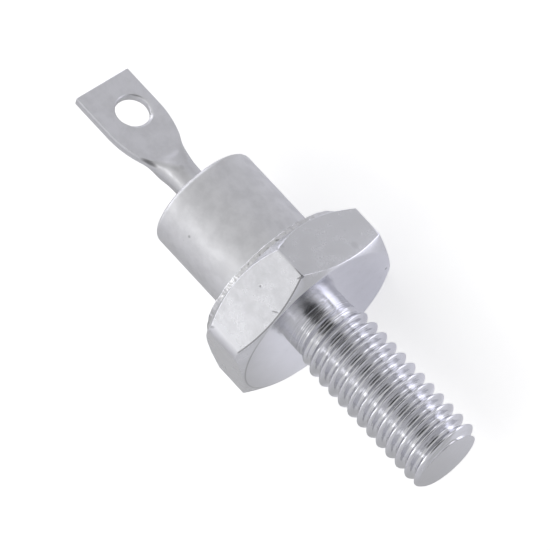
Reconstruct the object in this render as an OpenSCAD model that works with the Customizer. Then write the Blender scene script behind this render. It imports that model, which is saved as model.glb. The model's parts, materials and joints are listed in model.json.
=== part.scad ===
// Stud-mounted rectifier diode, lying on one flat of its hexagon.
// The stud's axis is the X axis, the terminal points to +X, and the origin is the middle of the seat.
// Each piece is drawn standing, with its axis on Z and the seat at z = 0, and is then laid down.

/* [Base] */
// Width of the hexagon across its flats
hex_af = 11; // [9:0.1:13]
// Thickness of the hexagon
hex_h = 3.4; // [2.4:0.1:4.5]
// Diameter of the flat circle that the corner chamfers leave on both faces
hex_rim_d = 10.8; // [10.3:0.1:10.9]
// Angle of the corner chamfers to the seat
hex_chamfer_angle = 30; // [15:1:40]
// Angle of the corner chamfers to the hexagon's upper face
hex_top_chamfer_angle = 38; // [15:1:45]
// Diameter of the pedestal that carries the chip
pedestal_d = 4.8; // [4.4:0.1:5.6]
// Height of the pedestal above the hexagon
pedestal_h = 0.3; // [0.2:0.1:1]

/* [Stud] */
// Outer diameter of the stud's thread
stud_d = 4.76; // [4.5:0.02:5.2]
// Length of the stud from the seat to its end
stud_l = 11.4; // [8:0.1:16]
// Diameter of the neck between seat and thread
relief_d = 4.06; // [3.6:0.02:4.3]
// Length of the neck, from the seat to the first full turn of thread
relief_l = 2.05; // [1:0.05:3]
// Diameter of the flat end face
stud_end_d = 4.2; // [3.6:0.02:4.4]

/* [Cap] */
// Outer diameter of the cap
cap_d = 7; // [6.4:0.1:8]
// Height of the cap above the hexagon
cap_h = 6.95; // [6.4:0.05:9]
// Thickness of the drawn sheet
cap_wall = 0.4; // [0.25:0.05:0.6]
// Radius of the rounded edge round the top
cap_shoulder_r = 0.35; // [0.1:0.05:0.6]
// Diameter of the welding flange
flange_d = 10.2; // [9:0.1:10.6]
// Thickness of the welding flange
flange_t = 0.45; // [0.3:0.05:0.9]
// Radius of the fillet between wall and flange
flange_fillet_r = 0.25; // [0.1:0.05:0.4]

/* [Glass seal] */
// Outer diameter of the glass
seal_d = 4; // [3.4:0.1:4.8]
// Depth of the glass
seal_h = 1.2; // [0.8:0.1:1.6]
// Depth of the hollow in the glass's two faces
seal_dip = 0.12; // [0.05:0.01:0.25]

/* [Terminal] */
// Diameter of the round pin
pin_d = 1.96; // [1.6:0.02:2.3]
// Length of pin below the glass
pin_tail_l = 0.75; // [0.6:0.05:1]
// Height of plain round pin above the cap
neck_h = 1.2; // [0.5:0.1:3]
// Length over which the pin widens into the blade
flare_l = 4.9; // [3:0.1:6.5]
// Length of the blade at its full width
blade_l = 2.95; // [2.6:0.05:5]
// Width of the blade
blade_w = 4; // [3.4:0.1:4.8]
// Thickness of the blade
blade_t = 0.5; // [0.45:0.05:0.9]
// Distance of the blade's middle plane from the pin's axis
blade_offset = 0.2; // [0:0.05:0.2]
// Radius of the blade's two free corners
blade_corner_r = 0.1; // [0.05:0.05:0.6]
// Turn of the blade's face about the axis, from the upper flat towards -Y
blade_turn = 51.8; // [0:0.1:90]
// Height above the flare's start at which the pressing begins
press_start = 0.4; // [0:0.1:1.5]
// Length over which the pressing reaches the blade's thickness
press_l = 2.2; // [1.5:0.1:3.4]
// Diameter of the hole in the blade
hole_d = 2.1; // [1.6:0.05:2.4]
// Distance of the hole's middle from the blade's end
hole_from_end = 2.5; // [1.8:0.05:3]
// Distance of the hole's middle from the blade's centre line
hole_offset = 0.3; // [0:0.05:0.4]

/* [Chip stack] */
// Thickness of the solder layers on the two discs
solder_t = 0.08; // [0.04:0.01:0.15]
// Thickness of the solder layers on the chip
chip_solder_t = 0.05; // [0.03:0.01:0.1]
// Diameter of the lower disc
lower_disc_d = 4.4; // [4.2:0.1:5]
// Thickness of the lower disc
lower_disc_t = 0.5; // [0.3:0.05:0.8]
// Diameter of the chip
chip_d = 3.6; // [3.2:0.1:3.8]
// Thickness of the chip
chip_t = 0.3; // [0.2:0.02:0.4]
// Diameter of the upper disc
upper_disc_d = 2.8; // [2.4:0.1:3]
// Thickness of the upper disc
upper_disc_t = 0.4; // [0.3:0.05:0.6]
// Thickness of the coating on the chip's upper face
coating_t = 0.28; // [0.1:0.02:0.3]
// Radius of the coating's rounded outer edge
coating_r = 0.3; // [0.1:0.02:0.35]

/* [Lead strap] */
// Width of the strap
strap_w = 1.5; // [1:0.1:1.8]
// Thickness of the strap
strap_t = 0.35; // [0.2:0.05:0.5]
// Length of the strap's straight run between two bends
strap_run = 0.3; // [0.1:0.05:0.5]
// Length of the strap's foot to the left of the axis
strap_foot_l = 0.8; // [0.5:0.05:1]
// Depth of the slot in the pin that holds the strap's end
slot_h = 0.5; // [0.3:0.05:0.6]

/* [Hidden] */
$fn = 96;
// How far a cutting shape reaches past the face that it cuts
cut = 1;
// How far the pressing outline starts outside the round pin
press_margin = pin_d / 50;
// Angle between the thread's flanks and the seat
thread_flank_angle = 30;

hex_corner_d = hex_af / cos(30);
relief_cone_h = (stud_d - relief_d) / 2 * tan(thread_flank_angle);
stud_end_chamfer = (stud_d - stud_end_d) / 2;

// Heights of the faces above the seat, from the base to the blade's end
pedestal_z = hex_h + pedestal_h;
lower_disc_z = pedestal_z + solder_t;
lower_chip_solder_z = lower_disc_z + lower_disc_t;
chip_z = lower_chip_solder_z + chip_solder_t;
upper_chip_solder_z = chip_z + chip_t;
upper_disc_z = upper_chip_solder_z + chip_solder_t;
strap_solder_z = upper_disc_z + upper_disc_t;
strap_z = strap_solder_z + solder_t;
cap_top_z = hex_h + cap_h;
seal_z = cap_top_z - seal_h;
pin_z = seal_z - pin_tail_l;
flare_z = cap_top_z + neck_h;
blade_z = flare_z + flare_l;
blade_end_z = blade_z + blade_l;
hole_z = blade_end_z - hole_from_end;

// The strap's two half turns and one quarter turn climb five radii, from its foot to the pin's slot
strap_bend_r = (pin_z - strap_z - strap_t / 2) / 5;
strap_side = strap_bend_r + strap_run;

plated = "gainsboro";
molybdenum = "slategray";
solder = "silver";

// Turns a piece that is drawn standing so that its axis lies on X and its -X side faces up
module lay() {
    rotate([0, 90, 0]) children();
}

// The same for the terminal and its strap, which share the blade's turn about the axis
module lay_turned() {
    lay() rotate([0, 0, blade_turn]) children();
}

// One round layer of the chip stack
module layer(d, h, z) {
    lay() translate([0, 0, z]) cylinder(d = d, h = h);
}

// Half outline that widens from r0 to r1 along an S of two equal arcs
module widening(r0, r1, length) {
    step = r1 - r0;
    arc_r = (length * length + step * step) / (4 * step);
    difference() {
        square([r0 + step / 2, length / 2]);
        translate([r0 + arc_r, 0]) circle(arc_r);
    }
    translate([0, length / 2]) intersection() {
        square([r1, length / 2]);
        translate([r1 - arc_r, length / 2]) circle(arc_r);
    }
}

// Outline of a plate with its two upper corners rounded, standing on the X axis
module rounded_top(width, height, r) {
    translate([-width / 2, 0]) square([width, height - r]);
    translate([r - width / 2, 0]) square([width - 2 * r, height]);
    for (side = [-1, 1]) translate([side * (width / 2 - r), height - r]) circle(r);
}

// Hexagon with one flat down, and its corners turned off to a cone on both faces
module chamfered_hexagon() {
    outer_r = hex_corner_d / 2;
    corner_w = (hex_corner_d - hex_rim_d) / 2;
    seat_drop = corner_w * tan(hex_chamfer_angle);
    top_drop = corner_w * tan(hex_top_chamfer_angle);
    intersection() {
        rotate([0, 0, 30]) cylinder(d = hex_corner_d, h = hex_h, $fn = 6);
        rotate_extrude() polygon([
            [0, 0], [hex_rim_d / 2, 0], [outer_r, seat_drop],
            [outer_r, hex_h - top_drop], [hex_rim_d / 2, hex_h], [0, hex_h]]);
    }
}

module stud_base() {
    thread_top = -relief_l - relief_cone_h;
    thread_end = stud_end_chamfer - stud_l;
    color(plated) lay() {
        chamfered_hexagon();
        rotate_extrude() polygon([
            [0, pedestal_z], [pedestal_d / 2, pedestal_z], [pedestal_d / 2, hex_h / 2],
            [relief_d / 2, hex_h / 2], [relief_d / 2, -relief_l], [stud_d / 2, thread_top],
            [stud_d / 2, thread_end], [stud_end_d / 2, -stud_l], [0, -stud_l]]);
    }
}

module base_solder() {
    color(solder) layer(lower_disc_d, solder_t, pedestal_z);
}

module lower_disc() {
    color(molybdenum) layer(lower_disc_d, lower_disc_t, lower_disc_z);
}

module lower_chip_solder() {
    color(solder) layer(chip_d, chip_solder_t, lower_chip_solder_z);
}

module silicon_chip() {
    color("dimgray") layer(chip_d, chip_t, chip_z);
}

module upper_chip_solder() {
    color(solder) layer(upper_disc_d, chip_solder_t, upper_chip_solder_z);
}

module upper_disc() {
    color(molybdenum) layer(upper_disc_d, upper_disc_t, upper_disc_z);
}

// Bead on the lower disc that wraps the chip's edge and reaches the upper disc
module junction_coating() {
    outer_r = lower_disc_d / 2;
    top_z = upper_chip_solder_z + coating_t;
    color("brown") lay() rotate_extrude() difference() {
        union() {
            translate([0, lower_chip_solder_z]) square([outer_r, top_z - coating_r - lower_chip_solder_z]);
            translate([0, lower_chip_solder_z]) square([outer_r - coating_r, top_z - lower_chip_solder_z]);
            translate([outer_r - coating_r, top_z - coating_r]) circle(coating_r);
        }
        translate([-cut, lower_chip_solder_z - cut])
            square([chip_d / 2 + cut, upper_chip_solder_z - lower_chip_solder_z + cut]);
        translate([-cut, 0]) square([upper_disc_d / 2 + cut, top_z + cut]);
    }
}

module strap_solder() {
    color(solder) lay_turned() translate([-strap_foot_l, -strap_w / 2, strap_solder_z])
        cube([strap_foot_l + strap_side, strap_w, solder_t]);
}

// Straight stretch of the strap's outline along X, from x0 to x1, with its middle at height z
module strap_straight(x0, x1, z) {
    translate([x0, z - strap_t / 2]) square([x1 - x0, strap_t]);
}

// Bend of the strap's outline about [x, z], within the box that starts at [x0, z0] and has the given size
module strap_bend(x, z, x0, z0, size) {
    intersection() {
        difference() {
            translate([x, z]) circle(strap_bend_r + strap_t / 2);
            translate([x, z]) circle(strap_bend_r - strap_t / 2);
        }
        translate([x0, z0]) square(size);
    }
}

// Foot, half turn, run, half turn, run, quarter turn and upright end, seen from the side
module strap_outline() {
    r = strap_bend_r;
    reach = r + strap_t;
    strap_straight(-strap_foot_l, strap_side, 0);
    strap_bend(strap_side, r, strap_side, r - reach, [reach, 2 * reach]);
    strap_straight(-strap_side, strap_side, 2 * r);
    strap_bend(-strap_side, 3 * r, -strap_side - reach, 3 * r - reach, [reach, 2 * reach]);
    strap_straight(-strap_side, -r, 4 * r);
    strap_bend(-r, 5 * r, -r, 5 * r - reach, [reach, reach]);
    translate([-strap_t / 2, 5 * r]) square([strap_t, slot_h]);
}

module lead_strap() {
    color("peru") lay_turned() translate([0, strap_w / 2, strap_z + strap_t / 2])
        rotate([90, 0, 0]) linear_extrude(strap_w) strap_outline();
}

// Ring of glass with a shallow hollow all round in both faces
module glass_seal() {
    ring_w = (seal_d - pin_d) / 2;
    middle_r = (seal_d + pin_d) / 4;
    dip_r = (ring_w * ring_w / 4 + seal_dip * seal_dip) / (2 * seal_dip);
    color("darkslategray") lay() rotate_extrude() difference() {
        translate([pin_d / 2, seal_z]) square([ring_w, seal_h]);
        translate([middle_r, cap_top_z - seal_dip + dip_r]) circle(dip_r);
        translate([middle_r, seal_z + seal_dip - dip_r]) circle(dip_r);
    }
}

// Section of the cap to the right of its axis, standing on the X axis
module cap_section() {
    cap_r = cap_d / 2;
    inner_r = cap_r - cap_wall;
    fillet_r = flange_fillet_r;
    difference() {
        union() {
            square([cap_r, cap_h - cap_shoulder_r]);
            square([cap_r - cap_shoulder_r, cap_h]);
            translate([cap_r - cap_shoulder_r, cap_h - cap_shoulder_r]) circle(cap_shoulder_r);
            square([flange_d / 2, flange_t]);
            difference() {
                square([cap_r + fillet_r, flange_t + fillet_r]);
                translate([cap_r + fillet_r, flange_t + fillet_r]) circle(fillet_r);
            }
        }
        translate([-cut, -cut]) square([inner_r + cut, cap_h - seal_h + cut]);
        translate([seal_d / 2 + cap_wall, 0]) square([inner_r - seal_d / 2 - cap_wall, cap_h - cap_wall]);
        translate([-cut, 0]) square([seal_d / 2 + cut, cap_h + cut]);
    }
}

module cap() {
    color(plated) lay() translate([0, 0, hex_h]) rotate_extrude() cap_section();
}

// The pin and its flare as they would be if they were round all the way
module round_terminal() {
    rotate_extrude() {
        translate([0, pin_z]) square([pin_d / 2, flare_z - pin_z]);
        translate([0, flare_z]) widening(pin_d / 2, blade_w / 2, flare_l);
        translate([0, blade_z]) square([blade_w / 2, blade_l]);
    }
}

// One half of the terminal's side outline: clear of the pin, then pressed to the distance face_x
module pressed_half(face_x) {
    clear_r = pin_d / 2 + press_margin;
    pressed_z = flare_z + press_start + press_l;
    translate([0, pin_z - cut]) square([clear_r, flare_z + press_start - pin_z + cut]);
    translate([0, pressed_z]) mirror([0, 1]) widening(face_x, clear_r, press_l);
    translate([0, pressed_z]) square([face_x, blade_end_z + cut - pressed_z]);
}

// Room between the pressing tools: the front half outline is on the -X side
module pressed_room() {
    translate([0, blade_w, 0]) rotate([90, 0, 0]) linear_extrude(2 * blade_w) {
        pressed_half(blade_t / 2 - blade_offset);
        mirror([1, 0]) pressed_half(blade_t / 2 + blade_offset);
    }
}

// Plate with the blade's rounded end, seen from the front, through the whole thickness
module trimmed_end() {
    translate([-blade_w, 0, pin_z]) rotate([90, 0, 90]) linear_extrude(2 * blade_w)
        rounded_top(blade_w, blade_end_z - pin_z, blade_corner_r);
}

module terminal() {
    color(plated) lay_turned() difference() {
        intersection() {
            round_terminal();
            pressed_room();
            trimmed_end();
        }
        translate([0, -hole_offset, hole_z]) rotate([0, 90, 0]) cylinder(d = hole_d, h = 2 * blade_w, center = true);
        translate([-strap_t / 2, -pin_d, pin_z - cut]) cube([strap_t, 2 * pin_d, slot_h + cut]);
    }
}

stud_base();
base_solder();
lower_disc();
lower_chip_solder();
silicon_chip();
upper_chip_solder();
upper_disc();
junction_coating();
strap_solder();
lead_strap();
glass_seal();
cap();
terminal();
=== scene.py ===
"""Dresses a stud-mounted rectifier diode: threaded base, cap, seal, terminal, inner pieces and stage."""
import json
import math

import bmesh
import bpy
from bpy.props import FloatProperty, FloatVectorProperty, PointerProperty
from bpy.types import Operator, Panel, PropertyGroup
from mathutils import Matrix, Vector


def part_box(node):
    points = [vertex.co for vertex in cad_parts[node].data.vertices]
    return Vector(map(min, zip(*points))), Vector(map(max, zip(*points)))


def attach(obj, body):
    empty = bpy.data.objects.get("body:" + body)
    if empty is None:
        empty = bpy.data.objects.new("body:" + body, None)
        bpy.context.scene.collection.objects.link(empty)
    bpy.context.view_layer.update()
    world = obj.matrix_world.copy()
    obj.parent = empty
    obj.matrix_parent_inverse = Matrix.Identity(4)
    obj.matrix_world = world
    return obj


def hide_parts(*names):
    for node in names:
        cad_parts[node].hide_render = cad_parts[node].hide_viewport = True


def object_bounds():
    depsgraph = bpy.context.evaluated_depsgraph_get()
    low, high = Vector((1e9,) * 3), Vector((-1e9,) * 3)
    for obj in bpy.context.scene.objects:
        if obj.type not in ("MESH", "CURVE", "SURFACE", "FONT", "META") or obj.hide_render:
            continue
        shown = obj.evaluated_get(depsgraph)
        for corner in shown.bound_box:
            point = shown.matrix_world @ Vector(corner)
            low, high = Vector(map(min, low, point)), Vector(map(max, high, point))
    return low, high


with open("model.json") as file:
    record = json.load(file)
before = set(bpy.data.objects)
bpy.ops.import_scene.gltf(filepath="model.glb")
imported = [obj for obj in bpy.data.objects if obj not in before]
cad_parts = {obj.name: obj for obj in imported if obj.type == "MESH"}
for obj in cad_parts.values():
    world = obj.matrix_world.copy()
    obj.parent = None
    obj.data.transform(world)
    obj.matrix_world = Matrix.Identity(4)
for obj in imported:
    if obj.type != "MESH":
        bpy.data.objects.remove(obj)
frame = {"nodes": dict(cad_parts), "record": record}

bl_info = {
    "name": "Stud-mounted rectifier diode",
    "version": (1, 0, 0),
    "blender": (4, 5, 0),
    "location": "3D View > Sidebar > Diode",
    "description": "Models the visible pieces of a stud-mounted rectifier diode and their plated finishes",
    "category": "Add Mesh",
}

CAD_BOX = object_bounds()
MM = 0.001
TAU = math.tau
# Points closer than this are one point
MERGE = 0.002 * MM
# Steps of a full spin
STEPS = 144
# Edges whose faces turn by more than this are creases
CREASE = math.radians(26)
BASE_LOW, BASE_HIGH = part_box("stud_base")
CAP_LOW, CAP_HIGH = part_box("cap")
SEAL_LOW, SEAL_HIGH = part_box("glass_seal")
TERMINAL_LOW, TERMINAL_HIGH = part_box("terminal")

# Turns a piece that is modelled standing, with its axis on Z, so that its axis lies on X
LAY_DOWN = Matrix.Rotation(TAU / 4, 4, "Y")
# Points of the thread's profile in one pitch
THREAD_POINTS = 24
# Waves round the flange's edge that together make the weld uneven
WELD_WAVES = (13, 23, 37)
# Share of a ring's radius that the blade's faces stay within, under 1 because a root is divided by
REACH_LIMIT = 0.999
# Rings from the pin to the blade's corners, and steps across the hole's lip
FLARE_RINGS = 120
LIP_STEPS = 6
# Where the lip's bevel begins and how soon it is full, as shares of the way towards the pin
BEVEL_START, BEVEL_FADE = 0.5, 0.4
WHITE = (1, 1, 1, 1)


# Properties

def length(name, description, default):
    """A size in metres."""
    return FloatProperty(name=name, description=description, default=default, unit="LENGTH", precision=6)


def angle(name, description, degrees):
    """An angle, given in degrees."""
    return FloatProperty(name=name, description=description, default=math.radians(degrees), subtype="ANGLE")


def share(name, description, default):
    """A number from 0 to 1."""
    return FloatProperty(name=name, description=description, default=default, min=0, max=1, subtype="FACTOR")


def colour(name, description, default):
    """A linear colour."""
    return FloatVectorProperty(name=name, description=description, default=default, size=3, min=0, max=1,
                               subtype="COLOR")


class BaseSizes(PropertyGroup):
    """Sizes of the hexagonal base and its threaded stud."""
    across_flats: length("Across flats", "Width of the hexagon across its flats", BASE_HIGH.z - BASE_LOW.z)
    thickness: length("Thickness", "Thickness of the hexagon", CAP_LOW.x)
    rim_diameter: length("Rim", "Diameter of the flat circle that the chamfers leave", 10.8 * MM)
    seat_chamfer: angle("Seat chamfer", "Angle of the corner chamfers to the seat", 30)
    top_chamfer: angle("Top chamfer", "Angle of the corner chamfers to the upper face", 38)
    corner_radius: length("Corner radius", "Radius of the hexagon's corners", 0.2 * MM)
    worn_radius: length("Worn radius", "Radius of the one corner that is worn", 0.9 * MM)
    worn_corner: angle("Worn corner", "Direction of that corner, from the side that faces down", 150)
    edge_radius: length("Edge radius", "Rounding of the chamfers' edges", 0.035 * MM)
    pedestal_diameter: length("Pedestal", "Diameter of the pedestal under the chip", 4.8 * MM)
    pedestal_top: length("Pedestal top", "Height of the pedestal above the seat", BASE_HIGH.x)
    stud_length: length("Stud length", "Length of the stud from the seat to its end", -BASE_LOW.x)
    thread_diameter: length("Thread", "Outer diameter of the thread", 4.76 * MM)
    pitch: length("Pitch", "Distance from one turn of the thread to the next", 0.83 * MM)
    thread_depth: length("Thread depth", "Depth of the thread", 0.44 * MM)
    crest_share: share("Crest share", "Share of the pitch that the flat of the crests takes", 0.125)
    root_share: share("Root share", "Share of the pitch that the flat of the roots takes", 0.25)
    thread_softness: share("Thread softness", "Rounding of crests and roots, as a share of the depth", 0.3)
    crest_height: length("First crest", "Height of one crest on the side that faces down", -2.39 * MM)
    neck_diameter: length("Neck", "Diameter of the neck between seat and thread", 4.06 * MM)
    runout_start: length("Run-out start", "Distance from the seat at which the thread starts to rise", 0.5 * MM)
    runout_end: length("Run-out end", "Distance from the seat at which the thread is full", 2.15 * MM)
    root_radius: length("Root radius", "Rounding between the seat and the neck", 0.015 * MM)
    end_diameter: length("End", "Diameter of the stud's flat end face", 4.2 * MM)
    end_radius: length("End radius", "Rounding of the end face's edge", 0.08 * MM)


class CapSizes(PropertyGroup):
    """Sizes of the drawn cap."""
    diameter: length("Diameter", "Outer diameter of the cap", 7 * MM)
    foot: length("Foot", "Height of the flange's underside above the seat", CAP_LOW.x)
    top: length("Top", "Height of the cap's top above the seat", CAP_HIGH.x)
    wall: length("Wall", "Thickness of the drawn sheet", 0.4 * MM)
    shoulder_radius: length("Shoulder", "Radius of the rounded edge round the top", 0.35 * MM)
    flange_diameter: length("Flange", "Diameter of the welding flange", 10.2 * MM)
    flange_thickness: length("Flange thickness", "Thickness of the welding flange", 0.45 * MM)
    fillet_radius: length("Fillet", "Radius between wall and flange", 0.25 * MM)
    edge_radius: length("Edge radius", "Rounding of the flange's edge", 0.1 * MM)
    mouth_radius: length("Mouth radius", "Rounding of the collar's mouth", 0.12 * MM)
    weld_wave: length("Weld wave", "Unevenness that the weld leaves round the flange's edge", 0.018 * MM)


class SealSizes(PropertyGroup):
    """Sizes of the glass ring."""
    diameter: length("Diameter", "Outer diameter of the glass", 4 * MM)
    bore: length("Bore", "Diameter of the pin that the glass holds", 1.96 * MM)
    dip: length("Dip", "Depth of the hollow in the glass's two faces", 0.12 * MM)


class TerminalSizes(PropertyGroup):
    """Sizes of the pin and its pressed blade."""
    pin_diameter: length("Pin", "Diameter of the round pin", 1.96 * MM)
    pin_foot: length("Pin foot", "Height of the pin's inner end above the seat", TERMINAL_LOW.x)
    end: length("End", "Height of the blade's end above the seat", TERMINAL_HIGH.x)
    flare_start: length("Flare start", "Height at which the pin starts to widen", 11.55 * MM)
    flare_length: length("Flare length", "Length over which the pin widens into the blade", 4.9 * MM)
    blade_width: length("Blade width", "Width of the blade", 4 * MM)
    blade_thickness: length("Blade thickness", "Thickness of the blade", 0.5 * MM)
    blade_offset: length("Blade offset", "Distance of the blade's middle plane from the axis", 0.2 * MM)
    blade_turn: angle("Blade turn", "Turn of the blade's face about the axis", 51.8)
    corner_radius: length("Corner radius", "Radius of the blade's two free corners", 0.1 * MM)
    edge_radius: length("Edge radius", "Rounding of the blade's edges", 0.09 * MM)
    press_start: length("Press start", "Height above the flare's start at which the pressing begins", 0.4 * MM)
    press_length: length("Press length", "Length over which the blade reaches its thickness", 2.2 * MM)
    press_blend: length("Press blend", "Softness of the change from round pin to pressed face", 0.5 * MM)
    press_margin: length("Press margin", "Room between the pin and the pressing tools", 0.0392 * MM)
    hole_diameter: length("Hole", "Diameter of the hole in the blade", 2.1 * MM)
    hole_from_end: length("Hole from end", "Distance of the hole's middle from the blade's end", 2.5 * MM)
    hole_offset: length("Hole offset", "Distance of the hole's middle from the blade's centre line", 0.3 * MM)
    lip_radius: length("Lip radius", "Rounding of the hole's front rim", 0.14 * MM)
    back_lip_radius: length("Back lip radius", "Rounding of the hole's back rim", 0.05 * MM)
    lip_bevel: length("Lip bevel", "Width of the bevel that the punch left on the rim's pin side", 0.17 * MM)
    lip_slope: angle("Lip slope", "Slope of that bevel to the blade", 36)


class FinishSettings(PropertyGroup):
    """Colours, gloss, relief, dirt and painted shade of the finishes."""
    base: colour("Base plating", "Bright plating of the hexagon and stud", (0.735, 0.737, 0.77))
    cap: colour("Cap plating", "Satin plating of the cap", (0.71, 0.71, 0.73))
    terminal: colour("Terminal plating", "Satin plating of the terminal", (0.72, 0.72, 0.745))
    glass: colour("Glass", "Dark glass of the seal", (0.1, 0.16, 0.17))
    seat_roughness: share("Seat roughness", "Roughness of the turned seat", 0.13)
    stud_roughness: share("Stud roughness", "Roughness of the rolled thread", 0.17)
    flat_roughness: share("Flat roughness", "Roughness of the hexagon's flats", 0.24)
    cap_roughness: share("Cap roughness", "Roughness of the cap", 0.5)
    terminal_roughness: share("Terminal roughness", "Roughness of the terminal", 0.37)
    worn_roughness: share("Worn roughness", "Roughness that the worn corner adds", 0.22)
    line_depth: length("Line depth", "Depth of the fine lines along the thread", 0.032 * MM)
    # Depth of the dents under the dark marks, which include painted shade
    dirt_and_shade_depth: length("Dirt depth", "Depth of the marks", 0.02 * MM)
    # Painted shade: dark lines along the crease between upper flat and seat chamfer, and along the seat's rim
    # on the +Y side only
    crease_shade: share("Crease dirt", "Darkness of the crease between upper flat and seat chamfer", 0.7)
    rim_shade: share("Rim dirt", "Darkness of the seat's rim on the +Y side", 0.45)
    stud_dirt: share("Stud dirt", "Darkness of the stud's plating", 0.06)
    # How much darker the pin and the flare's lower part are
    flare_darkening: share("Flare dirt", "Darkness of the terminal's pin and flare", 0.12)


class StageSettings(PropertyGroup):
    """Floor, light and camera."""
    floor: colour("Floor", "Colour of the floor", (0.76, 0.76, 0.76))
    floor_fill: share("Floor fill", "Glow that keeps the floor white where the camera sees it", 0.56)
    azimuth: angle("Azimuth", "Direction of the camera round the object, from -Y towards +X", -43.961)
    elevation: angle("Elevation", "Height of the camera above the horizon", 63.079)
    roll: angle("Roll", "Turn of the camera about its own axis", -92.278)
    distance: length("Distance", "Distance of the camera from the point that it looks at", 500 * MM)
    frame_width: length("Frame width", "Width of the picture at that distance", 31.463 * MM)


# Mesh helpers

def smooth(value):
    """Eases a number between 0 and 1, and holds it there outside."""
    held = min(max(value, 0), 1)
    return held * held * (3 - 2 * held)


def soft_min(value, limit, softness):
    """The smaller of two numbers, with a rounded change from one to the other."""
    overlap = max(softness - abs(value - limit), 0)
    return min(value, limit) - overlap * overlap / (4 * softness)


def arc(centre, radius, start, end, pieces=8):
    """Points of a round stretch in a profile, between two angles in degrees."""
    turns = [math.radians(start + (end - start) * i / pieces) for i in range(pieces + 1)]
    return [(centre[0] + radius * math.cos(t), centre[1] + radius * math.sin(t)) for t in turns]


def lathe(bm, profile, closed=False, steps=STEPS):
    """Spins a profile of (radius, height) points once round Z."""
    verts = [bm.verts.new((radius, 0, height)) for radius, height in profile]
    followers = verts[1:] + verts[:1] if closed else verts[1:]
    edges = [bm.edges.new(pair) for pair in zip(verts, followers)]
    bmesh.ops.spin(bm, geom=verts + edges, axis=(0, 0, 1), cent=(0, 0, 0), dvec=(0, 0, 0), angle=TAU,
                   steps=steps, use_merge=True)
    bmesh.ops.remove_doubles(bm, verts=bm.verts, dist=MERGE)


def rim_edges(bm, height):
    """Open edges that lie at one height."""
    return [e for e in bm.edges if e.is_boundary and all(abs(v.co.z - height) < MERGE for v in e.verts)]


def take_in(bm, other):
    """Adds another bmesh to this one, and frees it."""
    passing = bpy.data.meshes.new("passing")
    other.to_mesh(passing)
    other.free()
    bm.from_mesh(passing)
    bpy.data.meshes.remove(passing)


def make_piece(name, bm, material, node):
    """Lays a standing bmesh down as a finished piece that stands for a CAD node."""
    bmesh.ops.remove_doubles(bm, verts=bm.verts, dist=MERGE)
    bmesh.ops.recalc_face_normals(bm, faces=bm.faces)
    bmesh.ops.transform(bm, matrix=LAY_DOWN, verts=bm.verts)
    mesh = bpy.data.meshes.new(name)
    bm.to_mesh(mesh)
    bm.free()
    mesh.shade_smooth()
    mesh.materials.append(material)
    piece = bpy.data.objects.new(name, mesh)
    bpy.context.scene.collection.objects.link(piece)
    evened = piece.modifiers.new("even_normals", "WEIGHTED_NORMAL")
    evened.keep_sharp = True
    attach(piece, "root")
    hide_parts(node)


# Base

def hexagon_radius(s, around):
    """Radius of the hexagon's outline at an angle, with its corners rounded."""
    flat, half_side = s.across_flats / 2, TAU / 12
    from_flat = (around + half_side) % (2 * half_side) - half_side
    from_corner = half_side - abs(from_flat)
    corner = around + math.copysign(from_corner, from_flat)
    rounding = s.worn_radius if math.cos(corner - s.worn_corner) > 0.9 else s.corner_radius
    if math.tan(abs(from_flat)) * flat < math.tan(half_side) * (flat - rounding):
        return flat / math.cos(from_flat)
    centre = (flat - rounding) / math.cos(half_side)
    return centre * math.cos(from_corner) + math.sqrt(rounding ** 2 - (centre * math.sin(from_corner)) ** 2)


def add_hexagon(bm, s):
    """Hexagon with turned-off corners, its seat, and the pedestal on its other face."""
    flat, rim, top = s.across_flats / 2, s.rim_diameter / 2, s.thickness
    corner = flat / math.cos(TAU / 12)
    pedestal = s.pedestal_diameter / 2
    lathe(bm, [(s.neck_diameter / 2 + s.root_radius, 0), (rim, 0), (corner, top / 4), (corner, top * 3 / 4),
               (rim, top), (pedestal, top), (pedestal, s.pedestal_top), (0, s.pedestal_top)], steps=5 * STEPS)
    for vert in [v for v in bm.verts if v.co.xy.length > rim + MERGE]:
        around = math.atan2(vert.co.y, vert.co.x)
        radius = hexagon_radius(s, around)
        if vert.co.z < top / 2:
            height = (radius - rim) * math.tan(s.seat_chamfer)
        else:
            height = top - (radius - rim) * math.tan(s.top_chamfer)
        vert.co = (radius * math.cos(around), radius * math.sin(around), height)
    creases = [e for e in bm.edges if e.calc_face_angle(0) > CREASE
               and min(v.co.xy.length for v in e.verts) > rim - MERGE]
    bmesh.ops.bevel(bm, geom=creases, offset=s.edge_radius, offset_type="OFFSET", affect="EDGES", segments=3,
                    profile=0.5, material=-1, clamp_overlap=True)
    for side in range(6):
        outward = Vector((math.cos(side * TAU / 6), math.sin(side * TAU / 6), 0))
        for vert in bm.verts:
            vert.co -= outward * max(vert.co.dot(outward) - flat, 0)


def stud_radius(s, turn_share, height):
    """Radius of the stud at a share of the pitch from a crest's middle and a height above the seat."""
    from_crest = abs(turn_share - round(turn_share)) * 2
    flank = (from_crest - s.crest_share) / (1 - s.crest_share - s.root_share)
    fall = -soft_min(-soft_min(flank, 1, s.thread_softness), 0, s.thread_softness)
    thread = s.thread_diameter / 2 - s.thread_depth * fall
    neck = s.neck_diameter / 2
    full = smooth((-height - s.runout_start) / (s.runout_end - s.runout_start))
    above_end = height + s.stud_length
    rounding = max(s.end_radius - above_end, 0)
    end = s.end_diameter / 2 + above_end - rounding * rounding / (2 * s.end_radius)
    return min(neck + (thread - neck) * full, end)


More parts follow.
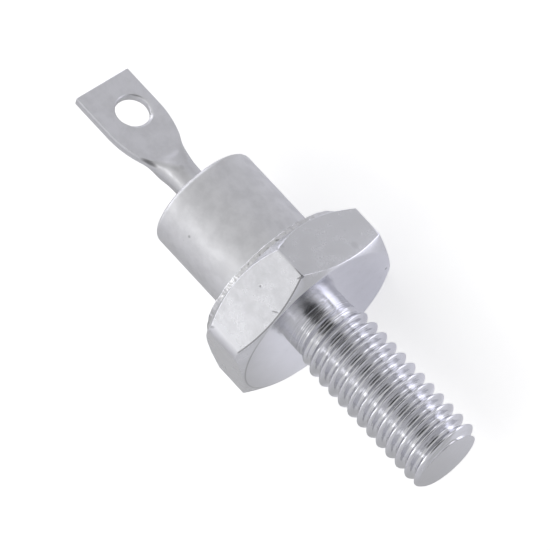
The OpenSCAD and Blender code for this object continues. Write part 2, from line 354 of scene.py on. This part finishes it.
def add_stud(bm, s):
    """Helical skin of the stud, trimmed at the seat and at its end."""
    turns = math.ceil(s.stud_length / s.pitch) + 3
    heights = [s.pitch * i / THREAD_POINTS for i in range(THREAD_POINTS + 1)]
    verts = [bm.verts.new((s.thread_diameter / 2, 0, height)) for height in heights]
    edges = [bm.edges.new(pair) for pair in zip(verts, verts[1:])]
    bmesh.ops.spin(bm, geom=verts + edges, axis=(0, 0, 1), cent=(0, 0, 0), dvec=(0, 0, s.pitch / STEPS),
                   angle=TAU, steps=STEPS, use_merge=False)
    one_turn = bm.verts[:] + bm.edges[:] + bm.faces[:]
    for turn in range(1, turns):
        copy = bmesh.ops.duplicate(bm, geom=one_turn)["geom"]
        bmesh.ops.translate(bm, verts=[g for g in copy if isinstance(g, bmesh.types.BMVert)],
                            vec=(0, 0, -turn * s.pitch))
    bmesh.ops.remove_doubles(bm, verts=bm.verts, dist=MERGE)
    for above, height in ((1, -s.root_radius), (-1, -s.stud_length)):
        bmesh.ops.bisect_plane(bm, geom=bm.verts[:] + bm.edges[:] + bm.faces[:], dist=MERGE / 10,
                               plane_co=(0, 0, height), plane_no=(0, 0, above), clear_outer=True)
    for vert in bm.verts:
        around = math.atan2(vert.co.y, vert.co.x)
        turn_share = (vert.co.z - s.crest_height) / s.pitch - around / TAU
        radius = stud_radius(s, turn_share, vert.co.z)
        vert.co = (radius * math.cos(around), radius * math.sin(around), vert.co.z)
    bmesh.ops.edgeloop_fill(bm, edges=rim_edges(bm, -s.stud_length))


class DIODE_OT_base(Operator):
    """Model the hexagonal base with its threaded stud"""
    bl_idname = "diode.base"
    bl_label = "Threaded base"

    def execute(self, context):
        s = context.scene.diode_base
        bm = bmesh.new()
        add_hexagon(bm, s)
        stud = bmesh.new()
        add_stud(stud, s)
        take_in(bm, stud)
        root = rim_edges(bm, 0) + rim_edges(bm, -s.root_radius)
        bmesh.ops.bridge_loops(bm, edges=root)
        for edge in root:
            edge.smooth = False
        make_piece("threaded_base", bm, base_plating(context.scene.diode_finish, s), "stud_base")
        return {"FINISHED"}


# Cap

class DIODE_OT_cap(Operator):
    """Model the drawn cap with its welding flange"""
    bl_idname = "diode.cap"
    bl_label = "Cap"

    def execute(self, context):
        s = context.scene.diode_cap
        collar = context.scene.diode_seal.diameter / 2
        outer, inner, flange = s.diameter / 2, s.diameter / 2 - s.wall, s.flange_diameter / 2
        flange_top = s.foot + s.flange_thickness
        edge, fillet, shoulder, mouth = s.edge_radius, s.fillet_radius, s.shoulder_radius, s.mouth_radius
        profile = [(inner, s.foot)]
        profile += arc((flange - edge, s.foot + edge), edge, -90, 0)
        profile += arc((flange - edge, flange_top - edge), edge, 0, 90)
        profile += arc((outer + fillet, flange_top + fillet), fillet, 270, 180)
        profile += arc((outer - shoulder, s.top - shoulder), shoulder, 0, 90)
        profile += arc((collar + mouth, s.top - mouth), mouth, 90, 180)
        profile += [(collar, SEAL_LOW.x), (collar + s.wall, SEAL_LOW.x), (collar + s.wall, s.top - s.wall),
                    (inner, s.top - s.wall)]
        bm = bmesh.new()
        lathe(bm, profile, closed=True, steps=2 * STEPS)
        for vert in bm.verts:
            around = math.atan2(vert.co.y, vert.co.x)
            waves = [math.sin(count * around + count * count) for count in WELD_WAVES]
            wave = sum(waves) / len(waves) - 1
            near_edge = smooth((vert.co.xy.length - outer - fillet) / (flange - outer - fillet))
            if vert.co.z > s.foot + MERGE:
                vert.co.xy *= 1 + wave * near_edge * s.weld_wave / flange
                vert.co.z += wave * near_edge * s.weld_wave
        make_piece("cap_shell", bm, cap_plating(context.scene.diode_finish), "cap")
        return {"FINISHED"}


# Glass seal

class DIODE_OT_seal(Operator):
    """Model the glass ring between cap and pin"""
    bl_idname = "diode.seal"
    bl_label = "Glass seal"

    def execute(self, context):
        s = context.scene.diode_seal
        inner, outer = s.bore / 2, s.diameter / 2
        middle, half = (inner + outer) / 2, (outer - inner) / 2
        dip_radius = (half * half + s.dip * s.dip) / (2 * s.dip)
        swing = math.degrees(math.asin(half / dip_radius))
        top = arc((middle, SEAL_HIGH.x - s.dip + dip_radius), dip_radius, 270 + swing, 270 - swing, 16)
        foot = arc((middle, SEAL_LOW.x + s.dip - dip_radius), dip_radius, 90 + swing, 90 - swing, 16)
        bm = bmesh.new()
        lathe(bm, top + foot, closed=True)
        make_piece("glass_ring", bm, seal_glass(context.scene.diode_finish), "glass_seal")
        return {"FINISHED"}


# Terminal

def s_curve(low, high, reach, along):
    """Height of an S of two equal arcs that climbs from low to high over a reach."""
    step = high - low
    radius = (reach * reach + step * step) / (4 * abs(step))
    held = min(max(along, 0), reach)
    near = min(held, reach - held)
    bow = math.copysign(radius - math.sqrt(radius * radius - near * near), step)
    return low + bow if held < reach / 2 else high - bow


def press(s, vert):
    """Moves a point of the round terminal to where the pressing leaves it."""
    along = vert.co.z - s.flare_start - s.press_start
    radius = vert.co.xy.length
    if along <= 0 or radius < MERGE:
        return
    clear = s.pin_diameter / 2 + s.press_margin
    front = s_curve(clear, s.blade_thickness / 2 + s.blade_offset, s.press_length, along)
    back = s_curve(clear, s.blade_thickness / 2 - s.blade_offset, s.press_length, along)
    middle, half = (back - front) / 2, (back + front) / 2
    near_end = max(s.edge_radius - (s.end - vert.co.z), 0)
    half -= s.edge_radius - math.sqrt(s.edge_radius ** 2 - near_end ** 2)
    pressed = smooth(2 * along / s.press_length - 1)
    blend = s.press_blend * smooth(2 * along / s.press_length) * (1 - pressed)
    softness = max(blend + s.edge_radius * pressed, MERGE)
    from_middle = vert.co.x - middle
    reach = min((front if from_middle < 0 else back) / radius, REACH_LIMIT)
    side = abs(vert.co.y)
    spread = soft_min(side / math.sqrt(1 - reach * reach), radius, softness)
    vert.co.y = math.copysign(side + (spread - side) * pressed, vert.co.y)
    vert.co.x = middle + math.copysign(soft_min(abs(from_middle), half, softness), from_middle)


def round_terminal(bm, s):
    """The pin and its flare as they would be if they were round all the way."""
    pin, blade = s.pin_diameter / 2, s.blade_width / 2
    corner = s.end - s.corner_radius
    profile = [(0, s.pin_foot), (pin, s.pin_foot), (pin, SEAL_HIGH.x)]
    for i in range(FLARE_RINGS):
        height = s.flare_start + (corner - s.flare_start) * i / FLARE_RINGS
        profile.append((s_curve(pin, blade, s.flare_length, height - s.flare_start), height))
    profile += arc((blade - s.corner_radius, corner), s.corner_radius, 0, 90, 12)
    profile.append((0, s.end))
    lathe(bm, profile, steps=STEPS * 4 // 3)


def pierce(bm, s):
    """Opens the hole through the blade, with rounded lips, the front one bevelled towards the pin."""
    middle = Vector((-s.hole_offset, s.end - s.hole_from_end))
    radius = s.hole_diameter / 2

    def away(point):
        return Vector((point.y, point.z)) - middle

    cleared = [f for f in bm.faces if away(f.calc_center_median()).length < radius + 2 * s.lip_radius]
    bmesh.ops.delete(bm, geom=cleared, context="FACES")
    rims = [e for e in bm.edges if e.is_boundary]
    inner = []
    for inward, lip, bevel in ((1, s.lip_radius, s.lip_bevel), (-1, s.back_lip_radius, 0)):
        face = -s.blade_offset - inward * s.blade_thickness / 2
        loop = [e for e in rims if (e.verts[0].co.x + s.blade_offset) * inward < 0]
        for step in [i / LIP_STEPS for i in range(LIP_STEPS + 1)]:
            grown = bmesh.ops.extrude_edge_only(bm, edges=loop)["geom"]
            loop = [g for g in grown if isinstance(g, bmesh.types.BMEdge)]
            for vert in {v for e in loop for v in e.verts}:
                outward = away(vert.co).normalized()
                bevelled = smooth((-outward.y - BEVEL_START) / BEVEL_FADE) if bevel else 0
                width = lip * (1 - math.sin(step * TAU / 4)) * (1 - bevelled) + bevel * (1 - step) * bevelled
                depth = lip * (1 - math.cos(step * TAU / 4)) * (1 - bevelled)
                depth += bevel * math.tan(s.lip_slope) * step * bevelled
                spot = middle + outward * (radius + width)
                vert.co = (face + inward * depth, spot.x, spot.y)
        inner += loop
    bmesh.ops.bridge_loops(bm, edges=inner)


class DIODE_OT_terminal(Operator):
    """Model the terminal pin with its pressed and pierced blade"""
    bl_idname = "diode.terminal"
    bl_label = "Terminal"

    def execute(self, context):
        s = context.scene.diode_terminal
        bm = bmesh.new()
        round_terminal(bm, s)
        for vert in bm.verts:
            press(s, vert)
        pierce(bm, s)
        bmesh.ops.rotate(bm, verts=bm.verts, cent=(0, 0, 0), matrix=Matrix.Rotation(s.blade_turn, 3, "Z"))
        make_piece("blade_terminal", bm, terminal_plating(context.scene.diode_finish), "terminal")
        return {"FINISHED"}


# Finishes

def add_node(tree, kind, inputs=None, **settings):
    """Adds a node, sets it up, and links or fills its inputs."""
    made = tree.nodes.new(kind)
    for name, value in settings.items():
        setattr(made, name, value)
    for name, value in (inputs or {}).items():
        if isinstance(value, bpy.types.NodeSocket):
            tree.links.new(value, made.inputs[name])
        else:
            made.inputs[name].default_value = value
    return made


def math_node(tree, operation, *values):
    """Adds a sum on numbers, and returns its result."""
    return add_node(tree, "ShaderNodeMath", dict(enumerate(values)), operation=operation).outputs[0]


def combine(tree, operation, values):
    """Adds a chain of sums that joins a row of numbers into one."""
    result, *others = values
    for value in others:
        result = math_node(tree, operation, result, value)
    return result


def vector_node(tree, operation, *values):
    """Adds a sum on vectors, and returns its outputs."""
    return add_node(tree, "ShaderNodeVectorMath", dict(enumerate(values)), operation=operation).outputs


def ease(tree, value, start, end, low, high):
    """Adds a smooth step from low to high while a value goes from start to end."""
    limits = {"Value": value, "From Min": start, "From Max": end, "To Min": low, "To Max": high}
    return add_node(tree, "ShaderNodeMapRange", limits, interpolation_type="SMOOTHSTEP").outputs["Result"]


def mix_colour(tree, factor, first, second):
    """Adds a mix of two colours."""
    # The node's colour sockets come after those for numbers and vectors
    return add_node(tree, "ShaderNodeMix", {0: factor, 6: first, 7: second}, data_type="RGBA").outputs[2]


def shade(tone, level):
    """A colour at a share of its brightness, with full alpha."""
    return (*(channel * level for channel in tone), 1)


def surface_marks():
    """Node group: soft clouding, fine grain and dark specks, from a position in millimetres."""
    known = bpy.data.node_groups.get("surface_marks")
    if known:
        return known
    tree = bpy.data.node_groups.new("surface_marks", "ShaderNodeTree")
    tree.interface.new_socket(name="Position", in_out="INPUT", socket_type="NodeSocketVector")
    for name in ("Clouds", "Grain", "Specks"):
        tree.interface.new_socket(name=name, in_out="OUTPUT", socket_type="NodeSocketFloat")
    position = add_node(tree, "NodeGroupInput").outputs["Position"]
    clouds = add_node(tree, "ShaderNodeTexNoise",
                      {"Vector": position, "Scale": 1.1, "Detail": 5, "Roughness": 0.6}).outputs["Fac"]
    grain = add_node(tree, "ShaderNodeTexNoise",
                     {"Vector": position, "Scale": 9, "Detail": 4, "Roughness": 0.65}).outputs["Fac"]
    cells = add_node(tree, "ShaderNodeTexVoronoi", {"Vector": position, "Scale": 1.7})
    chosen = add_node(tree, "ShaderNodeSeparateColor", {0: cells.outputs["Color"]}).outputs[0]
    size = ease(tree, chosen, 0.7, 1, 0, 0.12)
    inside = math_node(tree, "SUBTRACT", size, cells.outputs["Distance"])
    speck = ease(tree, inside, 0, 0.06, 0, 1)
    clouds = ease(tree, clouds, 0.3, 0.7, 0, 1)
    add_node(tree, "NodeGroupOutput", {"Clouds": clouds, "Grain": grain, "Specks": speck})
    return tree


# Marks of the finishes: middle in millimetres, turn in degrees, half sizes in millimetres, strength
BASE_MARKS = (
    ((0, -4.06, -3.2), (0, 0, 0), (0.1, 0.13, 0.1), 0.7),
    ((2.04, -0.91, 5.5), (0, 0, 0), (0.1, 0.1, 0.1), 0.5),
    ((0.36, -0.5, 5.5), (0, 0, 30), (0.3, 0.06, 0.1), 0.6),
    ((2.7, 2.99, 5.5), (0, 0, 40), (0.3, 0.12, 0.2), 0.4),
    ((0.5, -3.1, 5.48), (0, 0, 60), (0.4, 0.1, 0.2), 0.8),
    ((0.68, -5.37, 1.7), (0, 0, 0), (0.35, 0.3, 0.3), 0.14),
    ((2.85, -3.36, 5.17), (0, 0, 0), (0.35, 0.15, 0.2), 0.2),
)
CAP_MARKS = (((8.03, 1.02, 3.35), (0, 0, 0), (0.12, 0.12, 0.12), 0.5),)
TERMINAL_MARKS = (
    ((12.06, -0.6, 0.77), (0, 0, 0), (0.3, 0.2, 0.2), 0.25),
    # The second mark is painted shade: a dark patch on the flare's left edge where it meets the pin
    ((13.6, 0.53, 1.35), (0, -21, 18), (0.75, 0.24, 0.3), 1),
)
# Share of its brightness that a finish keeps under full dirt and painted shade
DIRT_AND_SHADE_LEVEL = 0.3
# Fine lines of the thread to one pitch, in three sets, and how far before a crest they begin, in millimetres
LINE_COUNTS = (3, 6, 11)
LINE_LEAD = 0.22


def placed_mark(tree, position, centre, turn, size):
    """Adds a soft-edged oval mark at a place in millimetres, turned by angles in degrees."""
    turn = [math.radians(part) for part in turn]
    place = {"Vector": position, "Location": centre, "Rotation": turn, "Scale": size}
    local = add_node(tree, "ShaderNodeMapping", place, vector_type="TEXTURE").outputs["Vector"]
    return ease(tree, vector_node(tree, "LENGTH", local)["Value"], 0.4, 1, 1, 0)


class Finish:
    """A finish whose colour, gloss and fine relief vary over the surface, with marks in set places, some of
    them painted shade.
    """

    def __init__(self, name, tone, marks=(), metallic=1):
        self.material = bpy.data.materials.new(name)
        self.material.use_nodes = True
        self.tree = self.material.node_tree
        self.shader = self.tree.nodes["Principled BSDF"]
        self.shader.inputs["Metallic"].default_value = metallic
        self.tone = tone
        spot = add_node(self.tree, "ShaderNodeTexCoord").outputs["Object"]
        self.position = add_node(self.tree, "ShaderNodeVectorMath", {0: spot, "Scale": 1 / MM},
                                 operation="SCALE").outputs["Vector"]
        self.along = add_node(self.tree, "ShaderNodeSeparateXYZ", {0: self.position}).outputs
        surface = add_node(self.tree, "ShaderNodeGroup", {"Position": self.position}, node_tree=surface_marks())
        self.clouds = surface.outputs["Clouds"]
        self.grain = surface.outputs["Grain"]
        self.specks = surface.outputs["Specks"]
        self.dirt_and_shade = None
        self.height = None
        for centre, turn, size, strength in marks:
            mark = placed_mark(self.tree, self.position, centre, turn, size)
            self.add_dirt_and_shade(math_node(self.tree, "MULTIPLY", mark, strength))

    def from_axis(self):
        """Distance from the part's axis, in millimetres."""
        across = vector_node(self.tree, "MULTIPLY", self.position, (0, 1, 1))["Vector"]
        return vector_node(self.tree, "LENGTH", across)["Value"]

    def add_dirt_and_shade(self, mask):
        """Darkens what a mask from 0 to 1 covers: dirt, and also painted shade."""
        self.dirt_and_shade = math_node(self.tree, "MAXIMUM", self.dirt_and_shade, mask) if self.dirt_and_shade else mask

    def add_height(self, value, scale):
        """Adds relief, as a value that is scaled to millimetres."""
        scaled = math_node(self.tree, "MULTIPLY", value, scale)
        self.height = math_node(self.tree, "ADD", self.height, scaled) if self.height else scaled

    def finish(self, roughness, cloudiness, speck_level):
        """Links the colour, gloss and relief to the shader, and returns the material."""
        tree, shader = self.tree, self.shader
        toned = mix_colour(tree, self.clouds, shade(self.tone, 1 - cloudiness), shade(self.tone, 1))
        toned = mix_colour(tree, self.specks, toned, shade(self.tone, speck_level))
        if self.dirt_and_shade:
            toned = mix_colour(tree, self.dirt_and_shade, toned, shade(self.tone, DIRT_AND_SHADE_LEVEL))
        tree.links.new(toned, shader.inputs["Base Color"])
        tree.links.new(roughness, shader.inputs["Roughness"])
        bump = add_node(tree, "ShaderNodeBump", {"Height": self.height, "Distance": MM, "Strength": 1})
        tree.links.new(bump.outputs["Normal"], shader.inputs["Normal"])
        return self.material


def paint_crease_shade(metal, s, sizes):
    """Paints shade as dark lines into the crease between upper flat and seat chamfer, and into the seat's rim
    on the +Y side.
    """
    tree, along = metal.tree, metal.along
    flat = sizes.across_flats / 2 / MM
    past_rim = math_node(tree, "SUBTRACT", metal.from_axis(), sizes.rim_diameter / 2 / MM)
    chamfer_height = math_node(tree, "MULTIPLY", past_rim, math.tan(sizes.seat_chamfer))
    from_crease = math_node(tree, "ABSOLUTE", math_node(tree, "SUBTRACT", along["X"], chamfer_height))
    # Painted shade along the crease, on the upper flat only
    on_upper_flat = ease(tree, along["Z"], flat - 0.05, flat - 0.02, 0, s.crease_shade)
    metal.add_dirt_and_shade(math_node(tree, "MULTIPLY", ease(tree, from_crease, 0.02, 0.08, 1, 0), on_upper_flat))
    # Painted shade along the seat's rim, on the +Y side only
    from_rim = math_node(tree, "ABSOLUTE", past_rim)
    metal.add_dirt_and_shade(combine(tree, "MULTIPLY", (ease(tree, from_rim, 0.01, 0.06, 1, 0),
                                              ease(tree, along["X"], 0.05, 0.1, s.rim_shade, 0),
                                              ease(tree, along["Y"], 0, 3, 0, 1))))


def add_thread_lines(metal, s, sizes, on_stud):
    """Adds fine rolled lines along the thread, each set in its own patches, and none on the end face."""
    tree, along = metal.tree, metal.along
    around = math_node(tree, "ARCTAN2", along["Y"], math_node(tree, "MULTIPLY", along["Z"], -1))
    from_first = math_node(tree, "SUBTRACT", along["X"], sizes.crest_height / MM - LINE_LEAD)
    phase = math_node(tree, "SUBTRACT", math_node(tree, "DIVIDE", from_first, sizes.pitch / MM),
                      math_node(tree, "DIVIDE", around, TAU))
    end = -sizes.stud_length / MM
    off_end = ease(tree, along["X"], end + 0.03, end + 0.2, 0, 1)
    patches = add_node(tree, "ShaderNodeTexNoise", {"Vector": metal.position, "Scale": 0.9}).outputs["Color"]
    patches = add_node(tree, "ShaderNodeSeparateColor", {0: patches}).outputs
    for count, patch in zip(LINE_COUNTS, patches):
        wave = math_node(tree, "SINE", math_node(tree, "MULTIPLY", phase, count * TAU))
        line = combine(tree, "MULTIPLY", (wave, ease(tree, patch, 0.3, 0.7, 0, 1), on_stud, off_end))
        metal.add_height(line, s.line_depth / MM / count)


def base_gloss(metal, s, sizes):
    """Roughness of the base: one for stud, seat and flats each, faintly clouded, more on the worn corner."""
    tree, along = metal.tree, metal.along
    corner = (0, math.sin(sizes.worn_corner), -math.cos(sizes.worn_corner))
    toward_worn = vector_node(tree, "DOT_PRODUCT", metal.position, corner)["Value"]
    return combine(tree, "ADD", (ease(tree, along["X"], 0, 0.1, s.seat_roughness, s.flat_roughness),
                                 ease(tree, along["X"], -0.06, -0.02, s.stud_roughness - s.seat_roughness, 0),
                                 ease(tree, metal.clouds, 0, 1, -0.04, 0.04),
                                 ease(tree, toward_worn, 5.9, 6.2, 0, s.worn_roughness)))


def base_plating(s, sizes):
    """Bright plating: satin flats with marks, painted shade along two creases, mirror-like seat, and fine
    rolled lines along the thread.
    """
    metal = Finish("base_plating", s.base, BASE_MARKS)
    paint_crease_shade(metal, s, sizes)
    on_stud = ease(metal.tree, metal.along["X"], -0.5, -0.03, 1, 0)
    metal.add_dirt_and_shade(math_node(metal.tree, "MULTIPLY", on_stud, s.stud_dirt))
    add_thread_lines(metal, s, sizes, on_stud)
    metal.add_height(metal.grain, 0.004)
    metal.add_height(metal.dirt_and_shade, -s.dirt_and_shade_depth / MM)
    return metal.finish(base_gloss(metal, s, sizes), cloudiness=0.05, speck_level=0.8)


def cap_plating(s):
    """Satin plating of the drawn cap, faintly clouded, with a pit, and an uneven glossier weld seam."""
    metal = Finish("cap_plating", s.cap, CAP_MARKS)
    tree = metal.tree
    metal.add_height(metal.grain, 0.003)
    metal.add_height(metal.dirt_and_shade, -s.dirt_and_shade_depth / MM)
    seam = add_node(tree, "ShaderNodeTexNoise", {"Vector": metal.position, "Scale": 3.5, "Detail": 1})
    near_seam = ease(tree, metal.from_axis(), 4.4, 4.9, 0, 1)
    metal.add_height(math_node(tree, "MULTIPLY", seam.outputs["Fac"], near_seam), 0.09)
    gloss = ease(tree, metal.clouds, 0, 1, s.cap_roughness + 0.03, s.cap_roughness - 0.03)
    gloss = math_node(tree, "MULTIPLY", gloss, ease(tree, near_seam, 0, 1, 1, 0.5))
    return metal.finish(gloss, cloudiness=0.1, speck_level=0.85)


def terminal_plating(s):
    """Satin plating of the terminal, with painted shade where the flare's edge meets the pin, a small dark
    mark, and a darker pin.
    """
    metal = Finish("terminal_plating", s.terminal, TERMINAL_MARKS)
    # Darker over the pin and the flare's lower part, fading out towards the blade
    metal.add_dirt_and_shade(ease(metal.tree, metal.along["X"], 14.2, 13, 0, s.flare_darkening))
    metal.add_height(metal.grain, 0.005)
    gloss = ease(metal.tree, metal.clouds, 0, 1, s.terminal_roughness + 0.04, s.terminal_roughness - 0.04)
    return metal.finish(gloss, cloudiness=0.1, speck_level=0.85)


def seal_glass(s):
    """Dark glass with a slightly uneven fire-polished surface."""
    glass = Finish("seal_glass", s.glass, metallic=0)
    glass.shader.inputs["Coat Weight"].default_value = 0.5
    glass.add_height(glass.clouds, 0.01)
    gloss = ease(glass.tree, glass.grain, 0, 1, 0.05, 0.15)
    return glass.finish(gloss, cloudiness=0.3, speck_level=0.6)


# Metallic share, roughness and relief of the finishes inside the case
INNER_LOOKS = {
    "solder": (1, 0.38, 0.006),
    "molybdenum": (1, 0.28, 0.002),
    "silicon": (0.3, 0.08, 0.0005),
    "silicone_coating": (0, 0.42, 0.004),
    "copper_strap": (1, 0.34, 0.003),
}


class DIODE_OT_inner(Operator):
    """Give the inner pieces their finishes"""
    bl_idname = "diode.inner"
    bl_label = "Inner pieces"

    def execute(self, context):
        record = frame["record"]
        tones = {entry["slot"]: entry["base_color"][:3] for entry in record["materials"]}
        finishes = {}
        for slot, (metallic, roughness, relief) in INNER_LOOKS.items():
            inner = Finish(slot, tones[slot], metallic=metallic)
            inner.add_height(inner.grain, relief)
            gloss = ease(inner.tree, inner.clouds, 0, 1, roughness * 1.15, roughness * 0.85)
            finishes[slot] = inner.finish(gloss, cloudiness=0.15, speck_level=0.5)
        for part in record["subparts"]:
            if part["material_slot"] in finishes:
                frame["nodes"][part["node"]].material_slots[0].material = finishes[part["material_slot"]]
        return {"FINISHED"}


# Stage

# Point that the camera looks at
CAMERA_TARGET = Vector((3.377, -0.382, 1.051)) * MM
FLOOR_RADIUS = 1500 * MM
# Tint of the floor in reflections, and of the tent at the horizon
FLOOR_TINT = (0.88, 0.88, 1, 1)
HORIZON_TINT = (0.94, 0.94, 1, 1)
# Pools of light on the floor, which only reflections show: middle's X and Y, inner and outer radius in
# millimetres, strength
FLOOR_POOLS = (
    (-3, 0, 4, 9, 0.36),
    (9, -9, 4, 13, 0.3),
    (-16, -8.5, 5, 14, 0.36),
    (-12, -28, 8, 20, 1.8),
    (15, -45, 15, 35, 0.1),
    (-5, -12, 4, 8, 0.3),
    (-3, -13, 3, 6, 0.7),
    (27, -4, 3, 6, 2),
    (-35, 45, 20, 50, 0.15),
)
# Round lamps of the tent, and its dark side: direction, inner and outer radius in degrees, strength
OVERHEAD_LAMP = ((0.31, 0.45, 0.84), 20, 46, 0.1)
SIDE_CARD = ((-0.5, -0.86, 0), 6, 22, 1.1)
CAMERA_SIDE = ((-0.45, -0.44, 0.78), 20, 34, 0.92)
# Straight lamps: strength, then limits as axis, where it is dark and where it is full
TUBE_LAMP = (1.1, (("Y", 0.42, 0.44), ("Y", 0.62, 0.59), ("X", -0.25, -0.05), ("X", 0.8, 0.65)))
END_CARD = (2.2, (("X", 0.5, 0.8), ("Z", 0.4, 0.15), ("Y", -0.62, -0.4)))


def camera_axes(s):
    """The camera's right, up and backward directions."""
    back = Vector((math.sin(s.azimuth) * math.cos(s.elevation), -math.cos(s.azimuth) * math.cos(s.elevation),
                   math.sin(s.elevation)))
    level = Vector((math.cos(s.azimuth), math.sin(s.azimuth), 0))
    upright = back.cross(level)
    right = level * math.cos(s.roll) + upright * math.sin(s.roll)
    return right, back.cross(right), back


def add_camera(context, s):
    """A long lens that looks down on the part."""
    right, up, back = camera_axes(s)
    data = bpy.data.cameras.new("studio_camera")
    data.sensor_width = 36
    data.lens = data.sensor_width * s.distance / s.frame_width
    data.clip_start = 0.01
    data.clip_end = 10
    camera = bpy.data.objects.new("studio_camera", data)
    context.scene.collection.objects.link(camera)
    turn = Matrix((right, up, back)).transposed().to_4x4()
    camera.matrix_world = Matrix.Translation(CAMERA_TARGET + back * s.distance) @ turn
    context.scene.camera = camera


def add_floor(context, s):
    """A wide sheet under the part, white to the camera and a cool grey where the metal mirrors it."""
    bm = bmesh.new()
    bmesh.ops.create_circle(bm, cap_ends=True, segments=64, radius=FLOOR_RADIUS)
    bmesh.ops.translate(bm, verts=bm.verts, vec=(0, 0, CAD_BOX[0].z))
    mesh = bpy.data.meshes.new("floor")
    bm.to_mesh(mesh)
    bm.free()
    floor = bpy.data.objects.new("floor", mesh)
    context.scene.collection.objects.link(floor)
    material = bpy.data.materials.new("floor_paper")
    material.use_nodes = True
    tree = material.node_tree
    tree.nodes.clear()
    paper = add_node(tree, "ShaderNodeBsdfDiffuse", {"Color": (*s.floor, 1)})
    rays = add_node(tree, "ShaderNodeLightPath").outputs
    seen = math_node(tree, "MAXIMUM", rays["Is Camera Ray"], rays["Is Transmission Ray"])
    spot = add_node(tree, "ShaderNodeTexCoord").outputs["Object"]

    def pool(x, y, inner, outer, strength):
        middle = (x * MM, y * MM, CAD_BOX[0].z)
        away = vector_node(tree, "DISTANCE", spot, middle)["Value"]
        return ease(tree, away, inner * MM, outer * MM, strength, 0)

    mirrored = combine(tree, "ADD", [pool(*values) for values in FLOOR_POOLS])
    glow = math_node(tree, "ADD", math_node(tree, "MULTIPLY", seen, s.floor_fill),
                     math_node(tree, "MULTIPLY", rays["Is Glossy Ray"], mirrored))
    tint = mix_colour(tree, seen, FLOOR_TINT, WHITE)
    fill = add_node(tree, "ShaderNodeEmission", {"Color": tint, "Strength": glow})
    both = add_node(tree, "ShaderNodeAddShader", {0: paper.outputs[0], 1: fill.outputs[0]})
    add_node(tree, "ShaderNodeOutputMaterial", {"Surface": both.outputs[0]})
    mesh.materials.append(material)


def add_light(context):
    """A white tent with an overhead lamp, a tube lamp along X, cards at +X and -Y, and a dark camera side."""
    world = bpy.data.worlds.new("light_tent")
    context.scene.world = world
    world.use_nodes = True
    tree = world.node_tree
    tree.nodes.clear()
    ray = add_node(tree, "ShaderNodeTexCoord").outputs["Generated"]
    along = add_node(tree, "ShaderNodeSeparateXYZ", {0: ray}).outputs

    def patch(direction, inner, outer, strength):
        toward = vector_node(tree, "DOT_PRODUCT", ray, Vector(direction).normalized())["Value"]
        return ease(tree, toward, math.cos(math.radians(outer)), math.cos(math.radians(inner)), 0, strength)

    def strip(strength, limits):
        fades = [ease(tree, along[axis], dark, full, 0, 1) for axis, dark, full in limits]
        return combine(tree, "MULTIPLY", [strength, *fades])

    tent = ease(tree, along["Y"], -0.3, 0.8, 0.71, 0.76)
    lit = combine(tree, "ADD", (tent, patch(*OVERHEAD_LAMP), strip(*TUBE_LAMP), strip(*END_CARD),
                                patch(*SIDE_CARD)))
    level = math_node(tree, "MULTIPLY", lit, math_node(tree, "SUBTRACT", 1, patch(*CAMERA_SIDE)))
    tint = mix_colour(tree, ease(tree, along["Z"], 0, 0.6, 0, 1), HORIZON_TINT, WHITE)
    # The camera itself sees a plain white background
    seen = add_node(tree, "ShaderNodeLightPath").outputs["Is Camera Ray"]
    tint = mix_colour(tree, seen, tint, WHITE)
    unseen = math_node(tree, "SUBTRACT", 1, seen)
    level = math_node(tree, "ADD", seen, math_node(tree, "MULTIPLY", level, unseen))
    glow = add_node(tree, "ShaderNodeBackground", {"Color": tint, "Strength": level})
    add_node(tree, "ShaderNodeOutputWorld", {"Surface": glow.outputs[0]})


class DIODE_OT_stage(Operator):
    """Set up the floor, the light and the camera"""
    bl_idname = "diode.stage"
    bl_label = "Stage"

    def execute(self, context):
        s = context.scene.diode_stage
        context.scene.view_settings.view_transform = "Standard"
        add_camera(context, s)
        add_floor(context, s)
        add_light(context)
        return {"FINISHED"}


# Panel and registration

OPERATORS = (DIODE_OT_stage, DIODE_OT_base, DIODE_OT_cap, DIODE_OT_seal, DIODE_OT_terminal, DIODE_OT_inner)
GROUPS = {
    "diode_base": BaseSizes,
    "diode_cap": CapSizes,
    "diode_seal": SealSizes,
    "diode_terminal": TerminalSizes,
    "diode_finish": FinishSettings,
    "diode_stage": StageSettings,
}


class DIODE_PT_panel(Panel):
    """Lists the diode's pieces and their sizes"""
    bl_idname = "DIODE_PT_panel"
    bl_label = "Rectifier diode"
    bl_space_type = "VIEW_3D"
    bl_region_type = "UI"
    bl_category = "Diode"

    def draw(self, context):
        for operator in OPERATORS:
            self.layout.operator(operator.bl_idname)
        for holder, group in GROUPS.items():
            box = self.layout.box()
            box.label(text=group.__doc__)
            for name in group.__annotations__:
                box.prop(getattr(context.scene, holder), name)


def register():
    for item in (*GROUPS.values(), *OPERATORS, DIODE_PT_panel):
        bpy.utils.register_class(item)
    for holder, group in GROUPS.items():
        setattr(bpy.types.Scene, holder, PointerProperty(type=group))


def unregister():
    for holder in GROUPS:
        delattr(bpy.types.Scene, holder)
    for item in (DIODE_PT_panel, *reversed(OPERATORS), *reversed(GROUPS.values())):
        bpy.utils.unregister_class(item)


def main():
    register()
    bpy.ops.diode.stage()
    bpy.ops.diode.base()
    bpy.ops.diode.cap()
    bpy.ops.diode.seal()
    bpy.ops.diode.terminal()
    bpy.ops.diode.inner()


if __name__ == "__main__":
    main()
